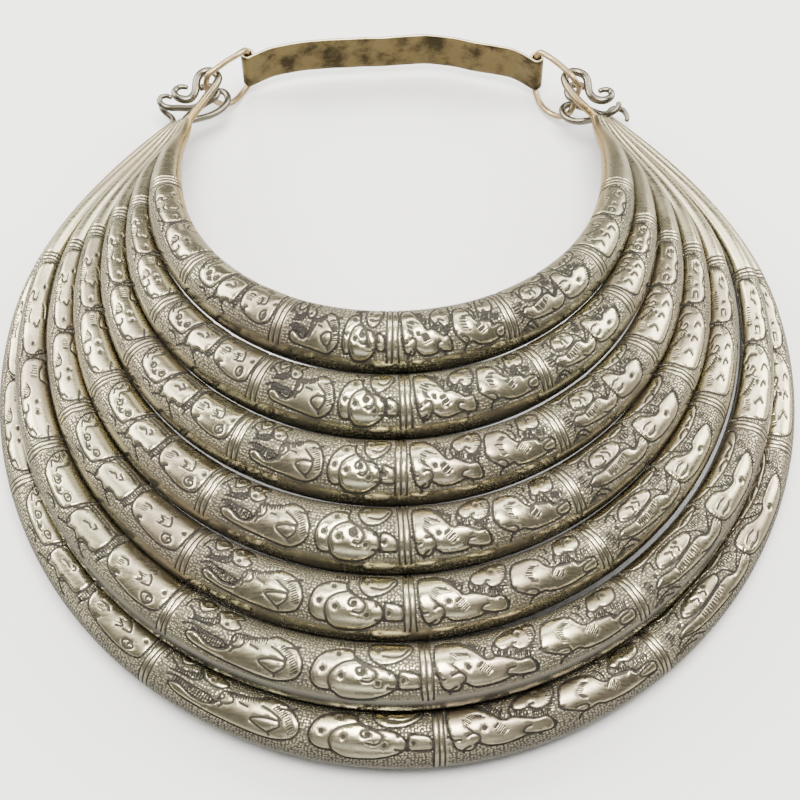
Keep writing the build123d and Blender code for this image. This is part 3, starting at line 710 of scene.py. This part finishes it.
LINKS = {  # closed wire loops: up the roll, over the upper hook, down through the hooks and back
    "link_left": [
        (-53.2, 9.0, 4.2), (-53.2, 9.0, 8.0), (-53.2, 9.0, 16.6), (-53.2, 9.0, 20.4),
        (-53.6, 7.9, 23.0), (-56.0, 4.6, 24.7), (-59.5, 1.3, 25.3), (-63.5, -2.6, 25.5),
        (-66.5, -5.0, 24.6), (-67.4, -5.8, 21.8), (-67.4, -5.7, 16.2), (-65.5, -5.2, 10.6),
        (-62.3, -3.7, 6.2), (-58.9, 0.0, 3.8), (-55.9, 5.6, 2.3),
    ],
    "link_right": [
        (53.4, 6.0, 4.2), (53.4, 6.0, 8.0), (53.4, 6.0, 16.6), (53.4, 6.0, 20.4), (54.1, 5.6, 23.0),
        (56.3, 3.2, 24.4), (59.2, -0.1, 25.2), (62.5, -4.1, 25.5), (65.6, -8.3, 25.3),
        (67.6, -9.4, 22.4), (68.0, -7.6, 16.6), (65.8, -11.4, 10.8), (62.5, -10.5, 6.0),
        (58.1, -5.9, 3.0), (54.6, 1.4, 1.8),
    ],
}
print("hook wires", len(HOOK_WIRES), "and links", len(LINKS))


def smooth_step(t):
    t = np.clip(t, 0, 1)
    return t * t * (3 - 2 * t)


def tail_wire(number, side):
    """Points and faces of the wire that goes on from a torc's end."""
    torc = torcs[number]
    rows = torc.centre if side > 0 else torc.centre[::-1]
    end, before = rows[-1], rows[-LOOK_BACK]
    if (number, side) in HOOK_WIRES:
        wire_r, tip_r, places = HOOK_WIRES[(number, side)]
        line = natural_line([end] + [np.array(place) + SHIFT for place in places])
        run = np.r_[0, np.cumsum(np.linalg.norm(np.diff(line, axis=0), axis=1))]
        radii = torc.end_r + (wire_r - torc.end_r) * smooth_step(run / SWELL)
        radii = tip_r + (radii - tip_r) * smooth_step((run[-1] - run) / POINTING)
    else:
        line = np.linspace(end, end + unit(end - before) * TAIL_OVERRUN[number], 6)
        radii = np.full(len(line), torc.end_r)
    radii = radii - SKIN
    radii[-len(CUT_END):] *= CUT_END
    return wire_tube(line, radii)


# %% Make the seven torcs
# The real torcs look as if they touch. The solids keep a gap, and the floor shows through it as a
# bright line, so the dressed torcs are raised a little on the sides that face each other to narrow it.
PACKED = 0.14                # that rise, on each of two neighbours, mm
PACKED_OUTER = (80, 140)     # degrees from the top between which the outer side is raised
PACKED_INNER = (45, 110)     # and the inner side
END_FREE = 0.97              # share of the half length past which nothing is raised or cut
WIRE_PAINTED_SHADE = 0.85             # painted shade over the whole of the hook wires, darkening them
OUTERMOST_PAINTED_SHADE = 0.6         # painted shade under the outermost torc, which has no neighbour there
GILT_FROM = 0.45             # share of the half length past which the first torc's inner edge is gilt
TAIL_FROM = 0.80             # share past which a torc is drawn out to its tail


def band(degrees, low, high, soft=15):
    """1 between two angles, easing in and out over a soft run."""
    return smooth_step((degrees - low) / soft) * smooth_step((high - degrees) / soft)


def torc_piece(number):
    sheet, ends = draw(number)
    flat, faces, masks, lift = sheet_mesh(sheet, ends)
    torc = torcs[number]
    has_inner, has_outer = number > 1, number < len(TORCS)
    share = np.abs(flat[:, 0] / torc.half_run)
    angle = flat[:, 1] / SHEET_R
    turned = np.degrees(angle)
    fade = np.clip((END_FREE - share) / 0.05, 0, 1)
    packed = band(turned, *PACKED_OUTER) * has_outer + band(-turned, *PACKED_INNER) * has_inner
    points = torc.wrap(flat[:, 0], angle, (lift + PACKED * packed) * fade)
    tail = smooth_step((share - TAIL_FROM) / 0.15)
    if number == 1:
        inner_edge = smooth_step((-turned - 20) / 50)
        gilt = inner_edge * smooth_step((share - GILT_FROM) / 0.2) + 0.45 * tail
    else:
        gilt = 0.15 * tail
    masks["gilt"] = np.clip(gilt, 0, 1)
    # painted shade, with some dirt, on the flanks that face a neighbour and under the outermost torc
    masks["shade_and_dirt"] = (smooth_step((-turned - 48) / 40) * has_inner
                     + smooth_step((turned - 42) / 36) * (1.0 if has_outer else OUTERMOST_PAINTED_SHADE))
    masks["along"] = np.stack([flat[:, 0], flat[:, 1], np.zeros(len(flat))], -1)
    faces = [tuple(f) for f in faces]
    for side in (-1, 1):
        wire_points, wire_faces = tail_wire(number, side)
        start = len(points)
        points = np.vstack([points, wire_points])
        faces += [tuple(start + i for i in f) for f in wire_faces]
        count = len(wire_points)
        # the hook wires get painted shade all over
        for mask, value in (("groove", 0), ("ground", 0), ("shade_and_dirt", WIRE_PAINTED_SHADE)):
            masks[mask] = np.r_[masks[mask], np.full(count, value)]
        # the first torc's gilding is worn off within two fifths of its hook wire
        worn = np.linspace(0.9, -1.3, count) if number == 1 else np.zeros(count)
        masks["gilt"] = np.r_[masks["gilt"], np.clip(worn, 0.05, 1)]
        masks["along"] = np.vstack([masks["along"], np.zeros((count, 3))])
    piece = new_mesh("torc_%d" % number, points, faces, masks)
    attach(piece, "root")
    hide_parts("ring_%d" % number)
    print("torc", number, "triangles", sum(len(p.vertices) - 2 for p in piece.data.polygons))
    return piece


torc_pieces = [torc_piece(number) for number in torcs]

# %% Make the links
for name, route in LINKS.items():
    line = natural_line([np.array(p) + SHIFT for p in route], closed=True)
    points, faces = wire_tube(line, np.full(len(line), LINK_R - SKIN), closed=True)
    link = new_mesh(name + "_wire", points, faces, {})
    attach(link, "root")
    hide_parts(name)
    print(link.name, "faces", len(link.data.polygons))

# %% [markdown]
# ## The nape strap
# A strip of sheet stands on edge behind the neck, and its ends are rolled round the links. It is
# planished by hand, so its face is slightly wavy, and its upper and lower edges get a painted highlight.
# A plan line with true rolls is drawn first and stood up as rows, with a small bevel at each edge.

# %% The strap's plan line
STRAP_BOTTOM, STRAP_TOP, STRAP_T = 4.2, 20.2, 1.0
ROLL_R = LINK_R + 0.45 + STRAP_T / 2
ROLL_TURN = math.radians(300)
STRAP_PATH = [
    (-53.2, 9.0), (-44.0, 11.6), (-34.0, 14.0), (-19.0, 15.4), (-2.5, 16.0), (14.0, 16.8),
    (24.0, 15.2), (33.0, 12.6), (43.5, 10.2), (53.4, 6.0),
]


def roll(centre, towards, sign):
    """Arc of a rolled end, from its free edge to where it leaves for the strap."""
    leave = math.atan2(towards[1] - centre[1], towards[0] - centre[0]) - sign * math.pi / 2
    turns = leave - sign * ROLL_TURN * np.linspace(1, 0, 26)
    return np.stack([centre[0] + ROLL_R * np.cos(turns), centre[1] + ROLL_R * np.sin(turns)], -1)


left_roll = roll(STRAP_PATH[0], STRAP_PATH[1], 1)
right_roll = roll(STRAP_PATH[-1], STRAP_PATH[-2], -1)[::-1]
middle = natural_line([(*left_roll[-1], 0)] + [(x, y, 0) for x, y in STRAP_PATH[1:-1]]
                      + [(*right_roll[0], 0)], per_mm=1.4)[1:-1, :2]
plan = np.vstack([left_roll, middle, right_roll])
strap_way = unit(np.gradient(plan, axis=0))
strap_side = np.stack([-strap_way[:, 1], strap_way[:, 0]], -1)
BEVEL = 0.18             # at the strap's long edges
INSET = 0.96             # share of the solid's half thickness, so the sheet lies just inside it
ROLL_ROWS = 28           # rows of the plan at each end that stay round and even
WAVE = 0.10              # depth of the planishing waves
half_t = STRAP_T / 2
section = [(half_t - BEVEL, STRAP_BOTTOM), (half_t, STRAP_BOTTOM + BEVEL)]
section += [(half_t, z) for z in np.linspace(STRAP_BOTTOM + 1.5, STRAP_TOP - 1.5, 8)]
section += [(half_t, STRAP_TOP - BEVEL), (half_t - BEVEL, STRAP_TOP)]
section += [(-d, z) for d, z in reversed(section)]
strap_points = []
for i, (spot, side) in enumerate(zip(plan, strap_side)):
    wave = WAVE * math.sin(i * 0.31) * math.sin(i * 0.083 + 1) * (ROLL_ROWS <= i < len(plan) - ROLL_ROWS)
    for d, z in section:
        strap_points.append((*(spot + side * (d * INSET + wave)), z))
strap_points = np.array(strap_points) + SHIFT
n = len(section)
strap_faces = [(i * n + k, i * n + (k + 1) % n, (i + 1) * n + (k + 1) % n, (i + 1) * n + k)
               for i in range(len(plan) - 1) for k in range(n)]
strap_faces += [tuple(range(n))[::-1], tuple((len(plan) - 1) * n + k for k in range(n))]
# the edge mask marks the strap's top and bottom, where a highlight is painted
strap = new_mesh("strap_sheet", strap_points, strap_faces,
                 {"edge": np.tile([1.0 if abs(d) < half_t else 0.0 for d, z in section], len(plan))})
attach(strap, "root")
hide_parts("nape_strap")
print("strap rows", len(plan))

# %% [markdown]
# ## Finishes
# The torcs are a white metal that has tarnished: dark sulphide lies in every groove and between the
# ring-punch marks, while the high places are rubbed bright and slightly yellow. Metals get nearly all
# their look from what they mirror, so small changes of roughness and slope matter more than colour.
# Two effects are shared by all metals and are built once as node groups: tarnish, and fine scratches.


# %% Helpers for nodes
def node(tree, kind, place=(0, 0), **settings):
    made = tree.nodes.new(kind)
    made.location = place
    for key, value in settings.items():
        setattr(made, key, value)
    return made


def group_sockets(group, inputs, outputs):
    """Named sockets; inputs carry a default."""
    for name, kind, value in inputs:
        socket = group.interface.new_socket(name, in_out="INPUT", socket_type=kind)
        if value is not None:
            socket.default_value = value
    for name, kind in outputs:
        group.interface.new_socket(name, in_out="OUTPUT", socket_type=kind)


def maths(tree, operation, a, b=None, clamp=False):
    made = node(tree, "ShaderNodeMath", operation=operation, use_clamp=clamp)
    for socket, value in zip(made.inputs, (a, b)):
        if value is None:
            continue
        if isinstance(value, (int, float)):
            socket.default_value = value
        else:
            tree.links.new(value, socket)
    return made.outputs[0]


def mix_colour(tree, factor, a, b):
    made = node(tree, "ShaderNodeMix", data_type="RGBA")
    for socket, value in zip((made.inputs[0], made.inputs[6], made.inputs[7]), (factor, a, b)):
        if isinstance(value, (int, float, tuple)):
            socket.default_value = value
        else:
            tree.links.new(value, socket)
    return made.outputs[2]


def stretch(tree, value, low, high, to_low=0.0, to_high=1.0):
    made = node(tree, "ShaderNodeMapRange", interpolation_type="SMOOTHSTEP")
    tree.links.new(value, made.inputs["Value"])
    made.inputs["From Min"].default_value = low
    made.inputs["From Max"].default_value = high
    made.inputs["To Min"].default_value = to_low
    made.inputs["To Max"].default_value = to_high
    return made.outputs["Result"]


def noise(tree, vector, scale, detail=3.0, rough=0.5):
    made = node(tree, "ShaderNodeTexNoise")
    made.inputs["Scale"].default_value = scale
    made.inputs["Detail"].default_value = detail
    made.inputs["Roughness"].default_value = rough
    if vector is not None:
        tree.links.new(vector, made.inputs["Vector"])
    return made.outputs["Fac"]


# %% Shared effect: tarnish in patches
def make_tarnish():
    group = bpy.data.node_groups.new("tarnish patches", "ShaderNodeTree")
    group_sockets(group, [("Patch Size", "NodeSocketFloat", 60.0), ("Amount", "NodeSocketFloat", 0.5)],
                  [("Mask", "NodeSocketFloat")])
    enter, leave = node(group, "NodeGroupInput"), node(group, "NodeGroupOutput")
    where = node(group, "ShaderNodeTexCoord").outputs["Object"]
    broad = node(group, "ShaderNodeTexNoise")
    group.links.new(where, broad.inputs["Vector"])
    group.links.new(enter.outputs["Patch Size"], broad.inputs["Scale"])
    broad.inputs["Detail"].default_value = 4
    fine = noise(group, where, 900.0, 4.0, 0.65)
    mixed = maths(group, "ADD", broad.outputs["Fac"], maths(group, "MULTIPLY", fine, 0.25))
    patches = stretch(group, mixed, 0.52, 0.80)
    group.links.new(maths(group, "MULTIPLY", patches, enter.outputs["Amount"]), leave.inputs["Mask"])
    return group


# %% Shared effect: fine scratches and rubbing
def make_scratches():
    group = bpy.data.node_groups.new("rubbing scratches", "ShaderNodeTree")
    group_sockets(group, [("Scale", "NodeSocketFloat", 300.0)],
                  [("Height", "NodeSocketFloat"), ("Rough", "NodeSocketFloat")])
    enter, leave = node(group, "NodeGroupInput"), node(group, "NodeGroupOutput")
    where = node(group, "ShaderNodeTexCoord").outputs["Object"]
    stretched = node(group, "ShaderNodeMapping")
    stretched.inputs["Scale"].default_value = (1.0, 6.0, 3.0)
    group.links.new(where, stretched.inputs["Vector"])
    lines = node(group, "ShaderNodeTexNoise")
    group.links.new(stretched.outputs[0], lines.inputs["Vector"])
    group.links.new(enter.outputs["Scale"], lines.inputs["Scale"])
    lines.inputs["Detail"].default_value = 5
    dents = noise(group, where, 130.0, 2.0)
    height = maths(group, "ADD", maths(group, "MULTIPLY", lines.outputs["Fac"], 0.4), dents)
    group.links.new(height, leave.inputs["Height"])
    group.links.new(stretch(group, lines.outputs["Fac"], 0.3, 0.7), leave.inputs["Rough"])
    return group


tarnish = make_tarnish()
scratches = make_scratches()
print("shared effects:", tarnish.name, "and", scratches.name)


# %% White metal, chased and tarnished
def attribute(tree, name):
    return node(tree, "ShaderNodeAttribute", attribute_name=name)


def effect(tree, group, **values):
    made = node(tree, "ShaderNodeGroup")
    made.node_tree = group
    for key, value in values.items():
        made.inputs[key.replace("_", " ")].default_value = value
    return made


def new_material(name):
    material = bpy.data.materials.new(name)
    material.use_nodes = True
    tree = material.node_tree
    return material, tree, tree.nodes["Principled BSDF"]


BRIGHT = (0.68, 0.61, 0.385, 1)          # rubbed high places
DULL = (0.33, 0.30, 0.195, 1)            # tarnished patches, and painted shade where torcs lie against each other
SULPHIDE = (0.018, 0.016, 0.013, 1)      # black in the grooves
PIT = (0.05, 0.046, 0.036, 1)            # between the ring punch's beads
SHADED = (0.085, 0.089, 0.092, 1)        # painted shade, with some dirt, between the torcs, under the outermost one and on the hooks
GILT = (0.66, 0.45, 0.17, 1)             # worn gilding
COPPER = (0.62, 0.44, 0.34, 1)           # pinkish base metal showing through
BEAD_SCALE = 1.02                        # beads of the ring punch for each mm


def ringed_ground(tree, along):
    """1 in the pits between the ring punch's beads, 0 on a bead."""
    matting = node(tree, "ShaderNodeTexVoronoi", feature="F1", voronoi_dimensions="2D")
    matting.inputs["Scale"].default_value = BEAD_SCALE
    matting.inputs["Randomness"].default_value = 0.6
    tree.links.new(along, matting.inputs["Vector"])
    return stretch(tree, matting.outputs["Distance"], 0.25, 0.46)


def make_white_metal():
    material, tree, shader = new_material("chased white metal")
    groove = attribute(tree, "groove").outputs["Fac"]
    ground = attribute(tree, "ground").outputs["Fac"]
    gilt = attribute(tree, "gilt").outputs["Fac"]
    shade_and_dirt = attribute(tree, "shade_and_dirt").outputs["Fac"]
    along = attribute(tree, "along").outputs["Vector"]
    patches = effect(tree, tarnish, Patch_Size=45.0, Amount=0.8)
    blush = effect(tree, tarnish, Patch_Size=22.0, Amount=0.55)
    rubbed = effect(tree, scratches, Scale=260.0)
    pits = ringed_ground(tree, along)
    matted = maths(tree, "MULTIPLY", pits, ground)
    soot = stretch(tree, groove, 0.12, 0.42)
    # tarnish patches and the painted shade between the torcs both dull the metal
    dull = maths(tree, "MAXIMUM", patches.outputs["Mask"], maths(tree, "MULTIPLY", shade_and_dirt, 0.9))
    base = mix_colour(tree, dull, BRIGHT, DULL)
    layers = [  # laid over one another: where, how strongly, colour
        (blush.outputs["Mask"], 0.4, COPPER),
        # painted shade, with some dirt, between the torcs
        (shade_and_dirt, 0.85, SHADED),
        (gilt, 0.85, GILT),
        (ground, 0.10, PIT),
        (matted, 0.9, PIT),
        (soot, 0.95, SULPHIDE),
    ]
    for mask, strength, colour in layers:
        base = mix_colour(tree, maths(tree, "MULTIPLY", mask, strength), base, colour)
    tree.links.new(base, shader.inputs["Base Color"])
    dirty = maths(tree, "MAXIMUM", soot, matted)
    rough = maths(tree, "MULTIPLY", rubbed.outputs["Rough"], 0.08)
    rough = maths(tree, "ADD", rough, 0.20)
    rough = maths(tree, "ADD", rough, maths(tree, "MULTIPLY", patches.outputs["Mask"], 0.16))
    rough = maths(tree, "ADD", rough, maths(tree, "MULTIPLY", dirty, 0.35), clamp=True)
    tree.links.new(rough, shader.inputs["Roughness"])
    tree.links.new(stretch(tree, dirty, 0.0, 1.0, 1.0, 0.5), shader.inputs["Metallic"])
    beads = maths(tree, "MULTIPLY", maths(tree, "SUBTRACT", 1.0, pits), ground)
    rubbing = maths(tree, "MULTIPLY", rubbed.outputs["Height"], stretch(tree, shade_and_dirt, 0.2, 0.6, 0.07, 0.015))
    height = maths(tree, "ADD", rubbing, beads)
    bump = node(tree, "ShaderNodeBump")
    bump.inputs["Strength"].default_value = 0.7
    bump.inputs["Distance"].default_value = 0.0003
    tree.links.new(height, bump.inputs["Height"])
    tree.links.new(bump.outputs["Normal"], shader.inputs["Normal"])
    return material


white_metal = make_white_metal()
for piece in torc_pieces:
    piece.data.materials.append(white_metal)


# %% Brass wire and strap sheet
EDGE_HIGHLIGHT = (0.80, 0.70, 0.46, 1)      # painted highlight on the strap's upper and lower edges


def make_brass(name, bright, dull, amount, roughness, edges=False):
    material, tree, shader = new_material(name)
    patches = effect(tree, tarnish, Patch_Size=110.0, Amount=amount)
    rubbed = effect(tree, scratches, Scale=300.0)
    base = mix_colour(tree, patches.outputs["Mask"], bright, dull)
    if edges:
        # painted highlight: the edges get a brighter colour
        edge = attribute(tree, "edge").outputs["Fac"]
        base = mix_colour(tree, maths(tree, "MULTIPLY", edge, 0.85), base, EDGE_HIGHLIGHT)
    tree.links.new(base, shader.inputs["Base Color"])
    rough = maths(tree, "ADD", maths(tree, "MULTIPLY", rubbed.outputs["Rough"], 0.12), roughness)
    rough = maths(tree, "ADD", rough, maths(tree, "MULTIPLY", patches.outputs["Mask"], 0.2), clamp=True)
    tree.links.new(rough, shader.inputs["Roughness"])
    shader.inputs["Metallic"].default_value = 1.0
    bump = node(tree, "ShaderNodeBump")
    bump.inputs["Strength"].default_value = 0.35
    bump.inputs["Distance"].default_value = 0.0002
    tree.links.new(rubbed.outputs["Height"], bump.inputs["Height"])
    tree.links.new(bump.outputs["Normal"], shader.inputs["Normal"])
    return material


brass = make_brass("rubbed brass", (0.66, 0.50, 0.28, 1), (0.30, 0.22, 0.12, 1), 0.8, 0.26)
strap_metal = make_brass("strap sheet", (0.235, 0.175, 0.075, 1), (0.055, 0.043, 0.022, 1), 0.95, 0.32,
                         edges=True)
for name in LINKS:
    bpy.data.objects[name + "_wire"].data.materials.append(brass)
strap.data.materials.append(strap_metal)
print("finishes:", ", ".join(m.name for m in (white_metal, brass, strap_metal)))

# %% [markdown]
# ## Floor, light and camera
# Metal shows what surrounds it. One broad light overhead gives the long highlight on each front run,
# screens at the back corners light the side runs, and a dim room leaves the flanks dark, so the round
# form reads. The floor could be one plain colour. Here its colour depends on the kind of ray: the
# camera sees it nearly white, and every other ray meets a mid grey, so the metal mirrors a darker floor
# than the picture shows. That is a shortcut: a plain pale floor would mirror brighter in the flanks.

# %% Floor
bpy.ops.mesh.primitive_plane_add(size=6)
floor = bpy.context.object
floor.name = "floor"
paper, paper_tree, paper_shader = new_material("pale paper")
FLOOR_MIRRORED, FLOOR_SEEN = (0.42, 0.42, 0.42, 1), (0.98, 0.98, 0.975, 1)
seen = node(paper_tree, "ShaderNodeLightPath").outputs["Is Camera Ray"]
paper_tree.links.new(mix_colour(paper_tree, seen, FLOOR_MIRRORED, FLOOR_SEEN),
                     paper_shader.inputs["Base Color"])
paper_shader.inputs["Roughness"].default_value = 0.9
floor.data.materials.append(paper)

# %% Lights
ROOM_COLOUR, ROOM_STRENGTH = (0.86, 0.88, 0.92, 1), 0.17
world = bpy.data.worlds.new("studio")
bpy.context.scene.world = world
world.use_nodes = True
world.node_tree.nodes["Background"].inputs[0].default_value = ROOM_COLOUR
world.node_tree.nodes["Background"].inputs[1].default_value = ROOM_STRENGTH


def soft_light(name, place, target, width, height, watts, colour):
    lamp = bpy.data.lights.new(name, "AREA")
    lamp.shape = "RECTANGLE"
    lamp.size, lamp.size_y = width, height
    lamp.energy = watts
    lamp.color = colour
    holder = bpy.data.objects.new(name, lamp)
    holder.location = place
    way = Vector(target) - Vector(place)
    holder.rotation_euler = way.to_track_quat("-Z", "Y").to_euler()
    bpy.context.collection.objects.link(holder)


LIGHTS = [
    # name, place, target, width, height, watts, colour
    ("ceiling", (0.05, -0.10, 1.5), (0, 0, 0), 0.9, 0.7, 52, (1, 0.975, 0.92)),
    ("window", (0.0, 1.0, 1.2), (0, 0, 0), 1.6, 0.5, 16, (1, 1, 1)),
    ("left_screen", (-1.3, 0.8, 0.8), (0, 0, 0), 1.3, 0.9, 44, (1, 0.985, 0.95)),
    ("right_screen", (1.3, 0.8, 0.8), (0, 0, 0), 1.3, 0.9, 40, (1, 0.985, 0.95)),
    ("front_card", (0.0, -1.4, 0.6), (0, 0, 0.02), 1.2, 0.35, 3, (0.92, 0.96, 1)),
]
for light in LIGHTS:
    soft_light(*light)
print("lights:", ", ".join(light[0] for light in LIGHTS))

# %% Camera, at the photograph's own angle
CAMERA_AT = np.array([6.02, -452.40, 562.92]) + SHIFT
CAMERA_RIGHT = Vector((1.000, -0.004, -0.0088)).normalized()
CAMERA_UP = Vector((0.0079, 0.866, 0.4999)).normalized()
LENS, SENSOR = 85.65, 36                 # mm
back = CAMERA_RIGHT.cross(CAMERA_UP).normalized()
up = back.cross(CAMERA_RIGHT)
camera = bpy.data.objects.new("camera", bpy.data.cameras.new("camera"))
bpy.context.collection.objects.link(camera)
turn = Matrix((CAMERA_RIGHT, up, back)).transposed().to_4x4()
camera.matrix_world = Matrix.Translation(Vector(CAMERA_AT * MM)) @ turn
camera.data.lens = LENS
camera.data.sensor_width = SENSOR
camera.data.clip_start = 0.01
bpy.context.scene.camera = camera
print("camera at", [round(v, 4) for v in camera.location])
